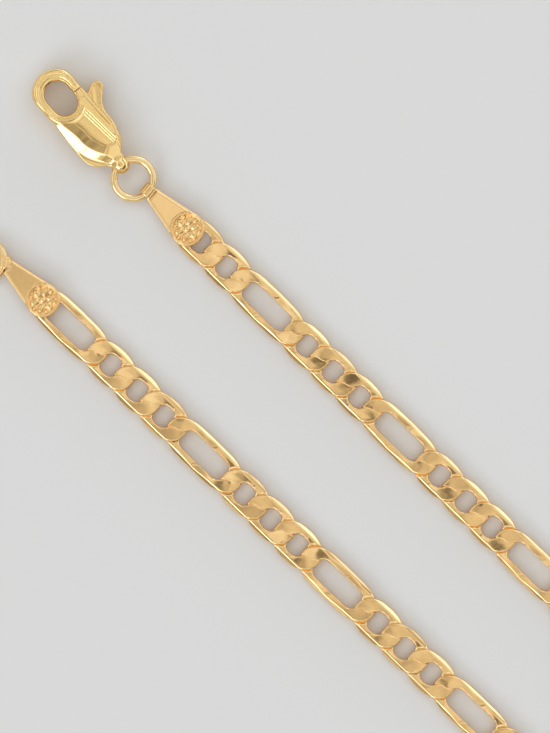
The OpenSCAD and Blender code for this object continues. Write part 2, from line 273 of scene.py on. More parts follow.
def apply_modifiers(piece):
    """Gives the piece its shape with its modifiers, as its own plain mesh."""
    bpy.context.view_layer.update()
    made = bpy.data.meshes.new_from_object(piece.evaluated_get(bpy.context.evaluated_depsgraph_get()))
    piece.modifiers.clear()
    piece.data = made


def swept(name, rings):
    """A closed tube through rings of points, each of the same count."""
    n, m = len(rings), len(rings[0])
    points = [p for ring in rings for p in ring]
    faces = [(i * m + k, (i + 1) % n * m + k, (i + 1) % n * m + (k + 1) % m, i * m + (k + 1) % m)
             for i in range(n) for k in range(m)]
    return mesh_object(name, points, faces)


def prism(name, outline, z0, z1):
    """A flat outline stood up between two heights."""
    n = len(outline)
    points = [(x, y, z0) for x, y in outline] + [(x, y, z1) for x, y in outline]
    faces = [tuple(range(n)), tuple(range(n, 2 * n))]
    faces += [(k, (k + 1) % n, n + (k + 1) % n, n + k) for k in range(n)]
    return mesh_object(name, points, faces)


# %% [markdown]
# ## A wax made of distances
#
# The clasp and the tags are cast. A goldsmith carves such a form in wax, and
# fillets and soft edges come by themselves. Here a formula plays the wax: it
# gives, for any place, about how far the skin is, and pieces melt into each
# other where the smaller distance is taken softly. A mesh is then drawn
# through all places at distance zero, and each corner is slid onto the skin.
# The links are made the same way, because their ends are filed to each other.


# %% Soft joins and simple forms
def melt(a, b, fillet):
    """The nearer of two skins, with a fillet of about this size where they meet."""
    h = np.clip(0.5 + 0.5 * (b - a) / fillet, 0, 1)
    return b + (a - b) * h - fillet * h * (1 - h)


def carve(a, b, fillet):
    """What two forms share, with its edge rounded by about this much."""
    return -melt(-a, -b, fillet)


def step_up(value, low, high):
    """Rises softly from 0 to 1 as the value goes from low to high."""
    t = np.clip((value - low) / (high - low), 0, 1)
    return t * t * (3 - 2 * t)


def slope(outward, up, degrees):
    """A facet that falls outward at this angle from where both are zero."""
    return outward * math.sin(math.radians(degrees)) + up * math.cos(math.radians(degrees))


def from_outline(x, y, corners):
    """Distance in plan to a closed outline, below zero inside it."""
    x, y = np.broadcast_arrays(x, y)
    nearest = np.full(x.shape, 1e9)
    inside = np.zeros(x.shape, bool)
    for (ax, ay), (bx, by) in zip(corners, corners[1:] + corners[:1]):
        ex, ey = bx - ax, by - ay
        wx, wy = x - ax, y - ay
        t = np.clip((wx * ex + wy * ey) / (ex * ex + ey * ey), 0, 1)
        nearest = np.minimum(nearest, (wx - ex * t) ** 2 + (wy - ey * t) ** 2)
        crosses = (ay > y) != (by > y)
        inside ^= crosses & (x < ax + (y - ay) * ex / (by - ay if by != ay else 1e-9))
    return np.where(inside, -1, 1) * np.sqrt(nearest)


def from_line(x, y, ax, ay, bx, by):
    """Distance in plan to a straight stretch."""
    ex, ey = bx - ax, by - ay
    t = np.clip(((x - ax) * ex + (y - ay) * ey) / (ex * ex + ey * ey), 0, 1)
    return np.hypot(x - ax - ex * t, y - ay - ey * t)


def rounded_box(u, v, half_u, half_v, r):
    """Distance in a section to a box with rounded corners."""
    qu, qv = np.abs(u) - half_u + r, np.abs(v) - half_v + r
    return np.hypot(np.maximum(qu, 0), np.maximum(qv, 0)) + np.minimum(np.maximum(qu, qv), 0) - r


print("two skins 0.1 mm off melt to:", round(float(melt(0.1, 0.1, fillet=0.1)), 3))

# %% The mesh through distance zero
FLATTEST = 0.05
SLIDES = 3


def slide_to_skin(points, field, step):
    """Moves points along the steepest way to distance zero."""
    probe = step / 4
    for _ in range(SLIDES):
        here = field(points[:, 0], points[:, 1], points[:, 2])
        uphill = np.stack([(field(*(points + d).T) - field(*(points - d).T)) / (2 * probe)
                           for d in np.eye(3) * probe], axis=1)
        size = np.maximum((uphill ** 2).sum(1), FLATTEST)
        points = points - uphill * np.clip(here / size, -step / 2, step / 2)[:, None]
    return points


def cast(name, field, low, high, step):
    """Draws the skin of a form in a grid: a corner in each cell that the skin passes through."""
    axes = [np.arange(l, h + step, step) for l, h in zip(low, high)]
    grid = field(axes[0][:, None, None], axes[1][None, :, None], axes[2][None, None, :])
    inside = grid < 0
    cells = tuple(n - 1 for n in grid.shape)
    total, count = np.zeros(cells + (3,)), np.zeros(cells)
    # Each corner lies amid the places where the skin cuts its cell's edges
    for axis in range(3):
        others = [a for a in range(3) if a != axis]
        for shift in ((0, 0), (0, 1), (1, 0), (1, 1)):
            near, far, base = [slice(0, n) for n in cells], [slice(0, n) for n in cells], np.zeros(3)
            for a, s in zip(others, shift):
                near[a] = far[a] = slice(s, s + cells[a])
                base[a] = s
            far[axis] = slice(1, 1 + cells[axis])
            f0, f1 = grid[tuple(near)], grid[tuple(far)]
            hit = (f0 < 0) != (f1 < 0)
            t = np.where(hit, f0 / np.where(hit, f0 - f1, 1), 0)
            for a in range(3):
                total[..., a] += hit * (t if a == axis else base[a])
            count += hit
    active = count > 0
    number = np.full(cells, -1)
    number[active] = np.arange(active.sum())
    corner = np.argwhere(active)
    points = (corner + total[active] / count[active][:, None]) * step + [a[0] for a in axes]
    # Each grid edge that the skin cuts gets a face between its four cells
    faces = []
    for axis in range(3):
        b, c = (axis + 1) % 3, (axis + 2) % 3
        lower, upper = [slice(None)] * 3, [slice(None)] * 3
        lower[axis], upper[axis] = slice(0, -1), slice(1, None)
        change = inside[tuple(lower)].astype(int) - inside[tuple(upper)]
        for sign in (1, -1):
            at = np.argwhere(change == sign)
            at = at[(at[:, b] > 0) & (at[:, c] > 0) & (at[:, b] < cells[b]) & (at[:, c] < cells[c])]
            ring = []
            for sb, sc in ((1, 1), (0, 1), (0, 0), (1, 0)):
                cell = at.copy()
                cell[:, b] -= sb
                cell[:, c] -= sc
                ring.append(number[cell[:, 0], cell[:, 1], cell[:, 2]])
            faces.append(np.stack(ring if sign > 0 else ring[::-1], axis=1))
    points = slide_to_skin(points, field, step)
    piece = mesh_object(name, points.tolist(), np.concatenate(faces).tolist())
    piece.data.shade_smooth()
    print(name, "corners:", len(piece.data.vertices))
    return piece


# %% [markdown]
# ## One link
#
# A curb link is an oval of wire, twisted so that each end rises on one side
# and falls on the other. The finished chain is rolled, filed flat and
# polished, so the ends of neighbours are pressed into each other and their
# flats meet level in an S-shaped seam. Here the oval is a wax with filed
# planes, from which the room of its two neighbours is taken. The mesh is
# then thinned, which leaves large faces on the flats and small ones at the
# edges, and its normals are weighted by those faces, so that the flats
# mirror as one.

# %% The sizes that only the eye needs
# The oval in plan: 2 would be an ellipse, and more is squarer
ROUND_POWER = 2.3
END_REACH = 1.04
BAR_W = 0.88
HOLE_REACH = 0.80
LONG_BOW = 0.11
# The wire's section before filing, and the filed planes
EDGE_R = 0.40
RAW_HALF_T = 0.60
CROWN = 0.009
BEVEL_START = 1.46
BEVEL_CROWN = 0.15
# The seam between two links, seen from above
SEAM_SLOPE = 0.42
SEAM_WAVE = 0.045
SEAM_WAVE_L = 0.6
SEAM_GAP = -0.012
# The notch in a bar where the next link's end lies over it
BAR_LAP = 0.11
RAMP_FOOT = 0.38
RAMP_RUN = 1.5
MID_LAP = 0.02
POLISH = 0.08
LINK_STEP = 0.05
LINK_TRIANGLES = 3800
print("bar width and hole width in mm:", BAR_W, LINK_W - 2 * BAR_W)


# %% Ovals in plan
def from_oval(x, y, half_l, half_w, stretch=0.0):
    """About the distance to a superellipse that a straight stretch parts in two."""
    u = np.maximum(np.abs(x) - stretch, 0) / half_l
    v = np.abs(y) / half_w + 1e-9
    size = (u ** ROUND_POWER + v ** ROUND_POWER) ** (1 / ROUND_POWER)
    steep = np.hypot((u / size) ** (ROUND_POWER - 1) / half_l, (v / size) ** (ROUND_POWER - 1) / half_w)
    return (size - 1) / steep


def bowed(x, y, stretch):
    """Distance from the axis, and more towards the ends of a stretched link."""
    if not stretch:
        return np.abs(y)
    return np.abs(y) + LONG_BOW * np.minimum((x / (SHORT_PITCH / 2 + stretch)) ** 2, 1)


def from_link_outline(x, y, stretch=0.0):
    return from_oval(x, bowed(x, y, stretch), SHORT_PITCH / 2 + END_REACH, LINK_W / 2, stretch)


def from_link_hole(x, y, stretch=0.0):
    return from_oval(x, bowed(x, y, stretch), SHORT_PITCH / 2 - HOLE_REACH, LINK_W / 2 - BAR_W, stretch)


print("outline at a link's middle:", round(float(from_link_outline(0, 0)), 2))


# %% What a neighbour fills
def neighbour_room(u, v, z):
    """The room above this link, at its near end, that the next link fills.

    It is drawn about the joint, with this link running off along u. Above,
    what lies below the seam is the neighbour's, inside its outline and
    outside its hole, and this link climbs back to full height beyond it.
    """
    seam = SEAM_SLOPE * u - SEAM_WAVE * np.sin(np.pi * u / SEAM_WAVE_L)
    below_seam = (v - seam - SEAM_GAP) / math.hypot(1, SEAM_SLOPE)
    x = u + SHORT_PITCH / 2
    outline = from_link_outline(x, v)
    beyond_hole = -from_link_hole(x, v) - SEAM_GAP
    ramp = (outline - RAMP_RUN * (z - RAMP_FOOT)) / math.hypot(1, RAMP_RUN)
    inside = np.minimum(outline + BAR_LAP, ramp)
    room = carve(below_seam, inside, fillet=0.12)
    room = carve(room, beyond_hole, fillet=0.06)
    return carve(room, -MID_LAP - z, fillet=0.05)


# %% A link of either length
GRID_MARGIN = 0.1
GRID_HALF_W = 2.05
GRID_HALF_T = 0.62


def link_form(pitch):
    """The wax of one link, about its middle."""
    stretch = (pitch - SHORT_PITCH) / 2

    def form(x, y, z):
        edge = np.minimum(-from_link_outline(x, y, stretch), from_link_hole(x, y, stretch))
        qu, qv = EDGE_R - edge, np.abs(z) - RAW_HALF_T + EDGE_R
        wire = np.hypot(np.maximum(qu, 0), np.maximum(qv, 0)) + np.minimum(np.maximum(qu, qv), 0) - EDGE_R
        near_joint = np.abs(x) - pitch / 2
        flat = np.abs(z) - CHAIN_T / 2 + CROWN * (near_joint ** 2 + y ** 2)
        bevel = ((np.abs(y) - BEVEL_START) * math.sin(BEVEL_ANGLE)
                 + (np.abs(z) - CHAIN_T / 2) * math.cos(BEVEL_ANGLE)
                 + BEVEL_CROWN * (np.abs(y) - (BEVEL_START + LINK_W / 2) / 2) ** 2)
        wire = carve(wire, flat, fillet=0.06)
        wire = carve(wire, bevel, fillet=0.07)
        for end in (1, -1):
            for side in (1, -1):
                room = neighbour_room(end * x + pitch / 2, end * side * y, side * z)
                wire = carve(wire, -room, fillet=POLISH)
        return wire
    return form


def link(name, pitch):
    """A link as a mesh, thinned where it is flat."""
    reach = (pitch + 2 * END_REACH) / 2 + GRID_MARGIN
    piece = cast(name, link_form(pitch), (-reach, -GRID_HALF_W, -GRID_HALF_T),
                 (reach, GRID_HALF_W, GRID_HALF_T), LINK_STEP)
    thin = piece.modifiers.new("thin", "DECIMATE")
    thin.ratio = LINK_TRIANGLES / (2 * len(piece.data.polygons))
    apply_modifiers(piece)
    piece.data.shade_smooth()
    weigh = piece.modifiers.new("weigh", "WEIGHTED_NORMAL")
    weigh.weight = 100
    apply_modifiers(piece)
    print(name, "faces:", len(piece.data.polygons), "size:", [round(d, 2) for d in piece.dimensions])
    return piece


short_link = link("short link", SHORT_PITCH)
long_link = link("long link", LONG_PITCH)

# %% [markdown]
# ## The chain
#
# One hundred and one loose links are two shapes put down again and again, so
# Geometry Nodes place them: a point for each link carries its turn and its
# kind, and the tree puts the right link on it. It also rocks each link by up
# to two degrees, since links that hang on each other never lie quite level.
# That is what breaks the row of flats into lighter and darker mirrors.

# %% A tree that lays links on points
ROCK = math.radians(2.0)
ROCK_LENGTHWAYS = 0.55


def laying_tree():
    """Short and long links on points, each turned and rocked, in one finish."""
    tree = bpy.data.node_groups.new("lay links", "GeometryNodeTree")
    face = tree.interface
    for name, kind in (("Points", "Geometry"), ("Short link", "Object"), ("Long link", "Object"),
                       ("Rock", "Float"), ("Seed", "Int"), ("Finish", "Material")):
        face.new_socket(name, in_out="INPUT", socket_type="NodeSocket" + kind)
    face.new_socket("Chain", in_out="OUTPUT", socket_type="NodeSocketGeometry")
    given = tree.nodes.new("NodeGroupInput").outputs
    kind = add(tree, "GeometryNodeInputNamedAttribute", {"data_type": "BOOLEAN"}, Name="is long")
    turn = add(tree, "GeometryNodeInputNamedAttribute", {"data_type": "FLOAT"}, Name="turn")
    rocked = add(tree, "FunctionNodeRandomValue", {"data_type": "FLOAT_VECTOR"},
                 i0=(-1, -ROCK_LENGTHWAYS, 0), i1=(1, ROCK_LENGTHWAYS, 0),
                 Seed=given["Seed"]).outputs[0]
    tipped = add(tree, "ShaderNodeVectorMath", {"operation": "SCALE"}, i0=rocked,
                 Scale=given["Rock"]).outputs[0]
    about_z = add(tree, "ShaderNodeCombineXYZ", Z=turn.outputs[0]).outputs[0]
    pose = add(tree, "ShaderNodeVectorMath", {"operation": "ADD"}, i0=tipped, i1=about_z).outputs[0]
    sorted_points = add(tree, "GeometryNodeSeparateGeometry", {"domain": "POINT"},
                        Geometry=given["Points"], Selection=kind.outputs[0])
    laid = add(tree, "GeometryNodeJoinGeometry")
    for source, output in (("Short link", "Inverted"), ("Long link", "Selection")):
        shape = add(tree, "GeometryNodeObjectInfo", Object=given[source]).outputs["Geometry"]
        copies = add(tree, "GeometryNodeInstanceOnPoints", Points=sorted_points.outputs[output],
                     Instance=shape, Rotation=pose)
        tree.links.new(copies.outputs[0], laid.inputs[0])
    solid = add(tree, "GeometryNodeRealizeInstances", Geometry=laid.outputs[0]).outputs[0]
    painted = add(tree, "GeometryNodeSetMaterial", Geometry=solid, Material=given["Finish"])
    end = tree.nodes.new("NodeGroupOutput")
    tree.links.new(painted.outputs[0], end.inputs[0])
    return tree


def set_input(modifier, name, value):
    """Sets a modifier's input by the socket's identifier."""
    for item in modifier.node_group.interface.items_tree:
        if item.name == name and item.in_out == "INPUT":
            modifier[item.identifier] = value


lay_links = laying_tree()
print("nodes in the tree:", len(lay_links.nodes))


# %% Lay the links
def lay(name, numbers, seed):
    """The links of these numbers in one mesh, in place and in metres."""
    rows = []
    for i in numbers:
        a, b = joints[i], joints[i + 1]
        rows.append(((a + b) / 2, math.atan2(b[1] - a[1], b[0] - a[0]), is_long(i)))
    mesh = bpy.data.meshes.new(name)
    mesh.from_pydata([(middle[0], middle[1], CHAIN_T / 2) for middle, turn, long in rows], [], [])
    mesh.attributes.new("turn", "FLOAT", "POINT").data.foreach_set("value", [r[1] for r in rows])
    mesh.attributes.new("is long", "BOOLEAN", "POINT").data.foreach_set("value", [r[2] for r in rows])
    piece = bpy.data.objects.new(name, mesh)
    scene.collection.objects.link(piece)
    laying = piece.modifiers.new("lay", "NODES")
    laying.node_group = lay_links
    set_input(laying, "Short link", short_link)
    set_input(laying, "Long link", long_link)
    set_input(laying, "Rock", ROCK)
    set_input(laying, "Seed", seed)
    set_input(laying, "Finish", filed_gold)
    apply_modifiers(piece)
    piece.data.transform(Matrix.Scale(MM, 4))
    return piece


def dress(piece, body, node):
    """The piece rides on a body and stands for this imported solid."""
    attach(piece, body)
    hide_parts(node)
    print(piece.name, "faces:", len(piece.data.polygons))


HALF_COUNT = LINKS // 2
clasp_half = lay("links_clasp_half", range(1, HALF_COUNT), seed=3)
ring_half = lay("links_ring_half", range(HALF_COUNT, LINKS - 1), seed=8)
dress(clasp_half, "necklace", "chain_clasp_half")
dress(ring_half, "necklace", "chain_ring_half")

# %% [markdown]
# ## Where the fittings lie
#
# The tag's loop is low and the clasp's eye is half its thickness up, so the
# jump ring between them is tipped. The plain ring at the other end leans
# from its loop down to the table. Each place is worked out from the last.

# %% Where rings, loops and clasp lie
CLASP_Z = CLASP_T / 2
RING_TILT = math.asin((CLASP_Z - LOOP_Z) / (2 * RING_R))
END_TIP = math.asin((LOOP_Z - RING_WIRE_D / 2) / (2 * RING_R))


def away(point, turn, far, z):
    """The place at a distance from a point, turned from straight up the page."""
    return Vector((point[0] - math.sin(turn) * far, point[1] + math.cos(turn) * far, z))


clasp_loop = away(joints[0], -LEAN, TAG_L, LOOP_Z)
end_loop = away(joints[LINKS], LEAN, TAG_L, LOOP_Z)
ring_middle = away(clasp_loop, RING_LEAN, RING_R * math.cos(RING_TILT), (LOOP_Z + CLASP_Z) / 2)
end_middle = away(end_loop, RING_SWING + LEAN, RING_R * math.cos(END_TIP), (LOOP_Z + RING_WIRE_D / 2) / 2)
clasp_eye = away(ring_middle, CLASP_ANGLE, RING_R * math.cos(RING_TILT), CLASP_Z)
print("clasp eye in mm:", [round(v, 2) for v in clasp_eye])


# %% Helpers for the fittings
def settle(piece, place, turn=0.0, tip=0.0):
    """Moves a mesh from its own frame to its place, and to metres."""
    pose = Matrix.Translation(place) @ Matrix.Rotation(turn, 4, "Z") @ Matrix.Rotation(tip, 4, "X")
    piece.data.transform(Matrix.Scale(MM, 4) @ pose)


def ring_way(across, along, up):
    """Distance to the hole that lets the ring through and bends with it."""
    least = 0.01
    bend = RING_R - np.sqrt(np.maximum(RING_R ** 2 - across ** 2, least))
    return np.hypot(along - bend, up) - HOLE_R


def smooth_outline(corners, parts=6):
    """A closed curve through a few chosen points."""
    p = np.array(corners)
    a, b, c, d = np.roll(p, 1, 0), p, np.roll(p, -1, 0), np.roll(p, -2, 0)
    curve = []
    for t in np.arange(parts) / parts:
        curve.append(0.5 * (2 * b + (c - a) * t + (2 * a - 5 * b + 4 * c - d) * t ** 2
                            + (3 * b - 3 * c + d - a) * t ** 3))
    return [tuple(q) for q in np.stack(curve, 1).reshape(-1, 2)]


print("ring tipped by degrees:", round(math.degrees(RING_TILT), 1))

# %% [markdown]
# ## The jump rings
#
# A jump ring is a turn of round drawn wire, bent on a mandrel, sawn and
# soldered shut. A circle swept round a circle gives it. The joint shows as a
# hair line, a little sunk by polishing, so the wire is thinner there.

# %% Rings of drawn wire
RING_STEPS = 160
WIRE_SIDES = 24
SOLDER_W = 0.05
SOLDER_DIP = 0.07
SOLDER_TURN = 2.4


def jump_ring(name):
    """A ring of wire about its own middle, with its soldered joint."""
    rings = []
    for k in range(RING_STEPS):
        a = k / RING_STEPS * math.tau
        off = math.atan2(math.sin(a - SOLDER_TURN), math.cos(a - SOLDER_TURN)) * RING_R
        r = RING_WIRE_D / 2 * (1 - SOLDER_DIP * math.exp(-(off / SOLDER_W) ** 2))
        out = Vector((math.cos(a), math.sin(a), 0))
        rings.append([out * (RING_R + r * math.cos(b)) + Vector((0, 0, r * math.sin(b)))
                      for b in (j * math.tau / WIRE_SIDES for j in range(WIRE_SIDES))])
    ring = swept(name, rings)
    ring.data.shade_smooth()
    ring.data.materials.append(drawn_gold)
    return ring


clasp_ring = jump_ring("jump_ring")
settle(clasp_ring, ring_middle, 0, RING_TILT)
dress(clasp_ring, "necklace", "clasp_ring")
end_ring = jump_ring("plain_end_ring")
settle(end_ring, end_middle, RING_SWING + LEAN, -END_TIP)
dress(end_ring, "necklace", "end_ring")

# %% [markdown]
# ## The end tags
#
# Each strand ends in a cast tag: a loop for the ring, a neck that widens,
# and a round end, soldered over the last link. The neck's face lies below a
# rim. The round end holds a small rosette in a sunk field with a bead round
# it: a boss, six ribbed petals and a small bead between each two.

# %% The tag's sizes
PLATE_TOP = TAG_TOP_Z - CHAIN_T / 2
TAG_ROUND_R = TAG_ROUND_D / 2
PETALS = 6
PETAL_REACH = 0.86
SMALL_BEAD_REACH = 1.20
# The rosette's domes: how deep the middle is sunk, how it is squashed, its radius
BOSS = (0.22, (1, 1, 1.2), 0.40)
PETAL = (0.34, (0.78, 1.15, 1.1), 0.45)
SMALL_BEAD = (0.16, (1, 1, 1), 0.22)
RIB_R = 0.10
RIB_LIFT = 0.12
RIM_W = 0.20
RIM_H = 0.06
FACE_DEPTH = 0.02
FIELD_R = 1.46
FIELD_DEPTH = 0.12
BEAD_RING_R = 1.56
BEAD_R = 0.15
BEAD_SINK = 0.02
LOOP_EDGE_R = 0.20
LOOP_GROOVES = (-0.62, 0.0, 0.62)
LOOP_GROOVE_R = 0.07
# The neck's sides meet the round end this far round it
NECK_TURN = math.radians(24)
NECK_LAP = 0.6
NECK_Y = TAG_L - LOOP_R_OUT * NECK_LAP
tag_neck = [(-TAG_NECK_W / 2, NECK_Y), (TAG_NECK_W / 2, NECK_Y),
            (TAG_ROUND_R * math.cos(NECK_TURN), TAG_ROUND_R * math.sin(NECK_TURN)),
            (-TAG_ROUND_R * math.cos(NECK_TURN), TAG_ROUND_R * math.sin(NECK_TURN))]
print("the neck meets the round end at:", [round(v, 2) for v in tag_neck[2]])


# %% The tag's form
def around(far, turn, count, middle, start=0.0):
    """Places of a motif that repeats round a circle: how far out, how far aside."""
    share = math.tau / count
    spoke = (turn + start) % share - share / 2
    return far * np.cos(spoke) - middle, far * np.sin(spoke)


def dome(out, aside, lift, sink, squash, r):
    """The top of a ball whose middle is sunk, squashed along its three ways."""
    return np.sqrt((out * squash[0]) ** 2 + (aside * squash[1]) ** 2 + ((lift + sink) * squash[2]) ** 2) - r


def rosette(x, y, lift):
    """A boss and six ribbed petals on a sunk field, with a bead between each two."""
    far, turn = np.hypot(x, y), np.arctan2(y, x)
    form = dome(far, 0, lift, *BOSS)
    out, aside = around(far, turn, PETALS, PETAL_REACH)
    petal = dome(out, aside, lift, *PETAL)
    petal = carve(petal, RIB_R - np.hypot(aside, lift - RIB_LIFT), fillet=0.05)
    form = melt(form, petal, fillet=0.05)
    out, aside = around(far, turn, PETALS, SMALL_BEAD_REACH, math.pi / PETALS)
    return melt(form, dome(out, aside, lift, *SMALL_BEAD), fillet=0.05)


def tag_form(swing):
    """The wax of a tag about its round end, with its loop turned as its ring is."""
    def form(x, y, z):
        lift = z - PLATE_TOP
        far = np.hypot(x, y)
        plan = melt(from_outline(x, y, tag_neck), far - TAG_ROUND_R, fillet=0.05)
        plate = carve(plan, np.abs(lift + TAG_T / 2 - RIM_H / 2) - TAG_T / 2 - RIM_H / 2, fillet=0.20)
        # The neck's face lies below a rim
        face = carve(plan + RIM_W, -lift - FACE_DEPTH, fillet=0.06)
        plate = carve(plate, -face, fillet=0.10)
        # The round end has a bead round a sunk field, and on it the rosette
        field = carve(far - FIELD_R, -lift - FIELD_DEPTH, fillet=0.05)
        plate = carve(plate, -field, fillet=0.07)
        plate = melt(plate, np.hypot(far - BEAD_RING_R, lift + BEAD_SINK) - BEAD_R, fillet=0.05)
        plate = melt(plate, rosette(x, y, lift), fillet=0.05)
        # The loop, turned with its ring, has three grooves over it
        u = np.cos(swing) * x + np.sin(swing) * (y - TAG_L)
        v = -np.sin(swing) * x + np.cos(swing) * (y - TAG_L)
        w = z - (LOOP_Z - CHAIN_T / 2)
        loop = rounded_box(u, np.hypot(v, w) - LOOP_R_OUT / 2, LOOP_W / 2, LOOP_R_OUT / 2, LOOP_EDGE_R)
        whole = melt(plate, loop, fillet=0.14)
        for turn in LOOP_GROOVES:
            groove = np.hypot(v - LOOP_R_OUT * math.sin(turn), w - LOOP_R_OUT * math.cos(turn))
            whole = carve(whole, LOOP_GROOVE_R - groove, fillet=0.06)
        return carve(whole, -ring_way(u, v, w), fillet=0.04)
    return form


print("petals and small beads on each tag:", 2 * PETALS)

# %% Cast both tags over their links
TAG_GRID = ((-2.0, -2.0, -0.4), (2.0, 6.4, 1.2))
FITTING_STEP = 0.06


def tag(name, joint, turn, swing, link_number, node):
    """A tag with the link that it is soldered to, as one mesh."""
    plate = cast(name, tag_form(swing), *TAG_GRID, FITTING_STEP)
    settle(plate, Vector((joint[0], joint[1], CHAIN_T / 2)), turn)
    plate.data.materials.append(filed_gold)
    soldered = lay(name + "_link", [link_number], seed=1)
    with bpy.context.temp_override(active_object=plate, selected_editable_objects=[plate, soldered]):
        bpy.ops.object.join()
    dress(plate, "necklace", node)


tag("tag_with_rosette", joints[0], -LEAN, RING_LEAN + LEAN, 0, "clasp_tag")
tag("end_tag_with_rosette", joints[LINKS], LEAN, RING_SWING, LINKS - 1, "ring_tag")
for pattern in (short_link, long_link):
    bpy.data.objects.remove(pattern)

# %% [markdown]
# ## The clasp's body
#
# A lobster clasp is a hook whose band runs on round the opening, and a body
# of two cheeks that hold the spring lever between them. The cheeks are flat
# on top, fall in broad facets to one side and draw in to a small eye for the
# jump ring. It is cast in one, so it is one wax here too, and the room for
# the lever is cut from it last, as it is from the real one.

# %% The body's outline and the lever's room
# Share of the body's length, then of its width, on its plain and on its lever side
OUTLINE_SHARES = [(0.05, -0.16, 0.13), (0.10, -0.25, 0.16), (0.16, -0.39, 0.23), (0.25, -0.50, 0.36),
                  (0.37, -0.535, 0.43), (0.60, -0.54, 0.45), (0.80, -0.535, 0.45), (0.92, -0.515, 0.44),
                  (1.00, -0.46, 0.40), (1.05, -0.30, 0.26)]
body_outline = smooth_outline([(r * BODY_W, s * BODY_L) for s, l, r in OUTLINE_SHARES]
                              + [(l * BODY_W, s * BODY_L) for s, l, r in reversed(OUTLINE_SHARES)])
SLOT_T = LEVER_T + 2 * LEVER_CLEAR
SLOT_FOOT = (0.09, 2.8)
SLOT_HEAD = (-0.86, 6.0)
slot_outline = [(SLOT_FOOT[0], HINGE[1]), SLOT_FOOT, SLOT_HEAD, (SLOT_HEAD[0], MOUTH_FOOT),
                (BODY_W, MOUTH_FOOT), (BODY_W, HINGE[1])]
print("corners of the body's outline:", len(body_outline))

# %% The cheeks: a roof of facets
# The line where the side facets begin bends in below this height and out above it
BEND_Y = 4.4
BEND_RUN = 2.3
BEND_OUT = 0.12
BEND_IN = 0.13
BEVEL_X = 1.57
LOW_BAND_W = 1.05
BEVEL_DROP = 0.20
FOOT_Y = 2.1
FOOT_SKEW = 0.2
CORNER = (-1.25, 1.75)
CORNER_WAY = (0.73, 0.68)
CORNER_DROP = 0.34
LEVER_SIDE_X = 1.60
LEVER_SIDE_Y = 2.6
LEVER_SIDE_LEAN = 0.60
EDGE_HALF_T = 0.50


def cheeks(x, y, z):
    """Two cheeks as one block: a roof of facets inside one outline."""
    up = np.abs(z) - CLASP_T / 2
    plan = from_outline(x, y, body_outline)
    above = BEND_RUN * np.tanh(np.maximum(y - BEND_Y, 0) / BEND_RUN)
    below = np.minimum(y - BEND_Y, 0)
    beyond = BEVEL_X + BEND_OUT * above ** 2 - BEND_IN * below ** 2 + x
    corner = CORNER_WAY[0] * (CORNER[0] - x) + CORNER_WAY[1] * (CORNER[1] - y)
    # A low band, the steep side facet, the foot, its corner, and the lever's side
    roof = carve(up, slope(LOW_BAND_W - beyond, up, degrees=11), fillet=0.05)
    roof = carve(roof, slope(-beyond, up + BEVEL_DROP, degrees=31), fillet=0.04)
    roof = carve(roof, slope(FOOT_Y - y - FOOT_SKEW * x, up, degrees=18), fillet=0.06)
    roof = carve(roof, slope(corner, up + CORNER_DROP, degrees=46), fillet=0.05)
    lever_side = x - LEVER_SIDE_X + LEVER_SIDE_LEAN * np.maximum(LEVER_SIDE_Y - y, 0)
    roof = carve(roof, slope(lever_side, up, degrees=44), fillet=0.12)
    # The casting stays this thick at its edge
    return carve(plan, melt(roof, np.abs(z) - EDGE_HALF_T, fillet=0.12), fillet=0.15)


print("side facet begins at:", -BEVEL_X, "at height", BEND_Y)

# %% The hook's band, the eye and the fine lines
LINE_HEAD_Y = 6.2
LINE_FOOT_Y = 2.1
LINE_PLACES = ((0.88, 1.25), (0.62, 1.02), (0.34, 0.80))
LINE_R = 0.10
LINE_LIFT = 0.03
# How far out each step round the opening begins, and how it falls in degrees
MOUTH_STEPS = ((1.02, 22), (0.80, 50))
BAND_HALF_W = 0.50
BAND_EDGE_R = 0.42
TIP_WIDER = 0.15
TIP_FROM, TIP_TO = MOUTH_HEAD - 0.3, MOUTH_HEAD + 2
CHEEKS_THICKER = 0.17
BAND_GROOVES = ((0.60, 0.05), (1.15, 0.07))
BAND_GROOVE_R = 0.13
EYE_HALF_W = 0.92
EYE_FLATTEN = 0.98
EYE_ASIDE = 0.06


def cheek_lines(x, y):
    """Distance in plan to the three fine lines along each cheek's edge."""
    lines = [from_line(x, y, head, LINE_HEAD_Y, foot, LINE_FOOT_Y) for head, foot in LINE_PLACES]
    return np.minimum.reduce(lines)


def hook_band(ring, y, z):
    """The band round the opening: wider at the hook's tip, thicker at the cheeks."""
    half = BAND_HALF_W + TIP_WIDER * step_up(y, TIP_FROM, TIP_TO)
    half_t = HOOK_T / 2 + CHEEKS_THICKER * step_up(-y, -MOUTH_HEAD, 1 - MOUTH_FOOT)
    band = rounded_box(ring - MOUTH_R - half, z, half, half_t, BAND_EDGE_R)
    for share, lift in BAND_GROOVES:
        groove = np.hypot(ring - MOUTH_R - half * share, np.abs(z) - half_t - lift)
        band = carve(band, BAND_GROOVE_R - groove, fillet=0.07)
    return band


def eye_ball(x, y, z):
    """The ball at the foot that the ring's hole goes through."""
    return (np.hypot((x + EYE_ASIDE) / EYE_HALF_W, np.hypot(y, z) / EYE_FLATTEN) - 1) * EYE_HALF_W


print("fine lines on each cheek:", len(LINE_PLACES))

# %% The body's form
EDGE_LEAN = 0.1
POCKET_FOOT = (1.45, 2.45)
POCKET_SLANT = 0.5
NOSE_FOOT_Y = 4
HOOK_GAP = 0.06


